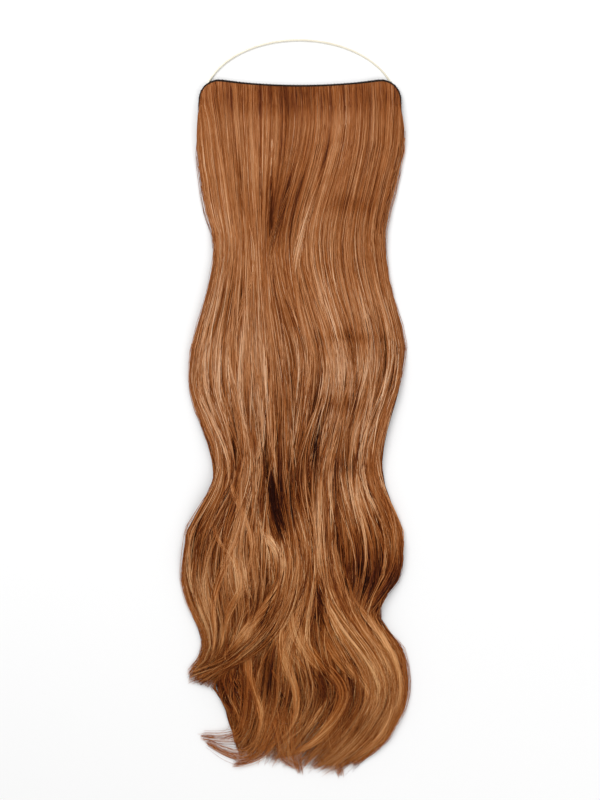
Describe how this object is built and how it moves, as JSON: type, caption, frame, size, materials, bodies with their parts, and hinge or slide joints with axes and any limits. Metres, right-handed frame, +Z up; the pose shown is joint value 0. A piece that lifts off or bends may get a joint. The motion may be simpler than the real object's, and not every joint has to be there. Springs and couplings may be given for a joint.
{
  "type": "hair extension",
  "caption": "Halo hair extension lying flat: a stitched weft band carries a long wavy hair fall, and a stiff wire loop runs from end to end of the band.",
  "frame": {"origin": "middle of the weft band's bare back face, on the surface that the piece lies on", "axes": "+X right along the band, +Y from the hair towards the wire loop, +Z up off the surface"},
  "size_m": [0.2008, 0.6464, 0.0224],
  "materials": {
    "hair": "satin",
    "weft_band": "matte",
    "halo_wire": "gloss",
    "wire_anchor_left": "matte",
    "wire_anchor_right": "matte"
  },
  "bodies": {
    "root": {"hair": "hair", "weft_band": "weft_band", "halo_wire": "halo_wire", "wire_anchor_left": "wire_anchor_left", "wire_anchor_right": "wire_anchor_right"}
  },
  "joints": []
}
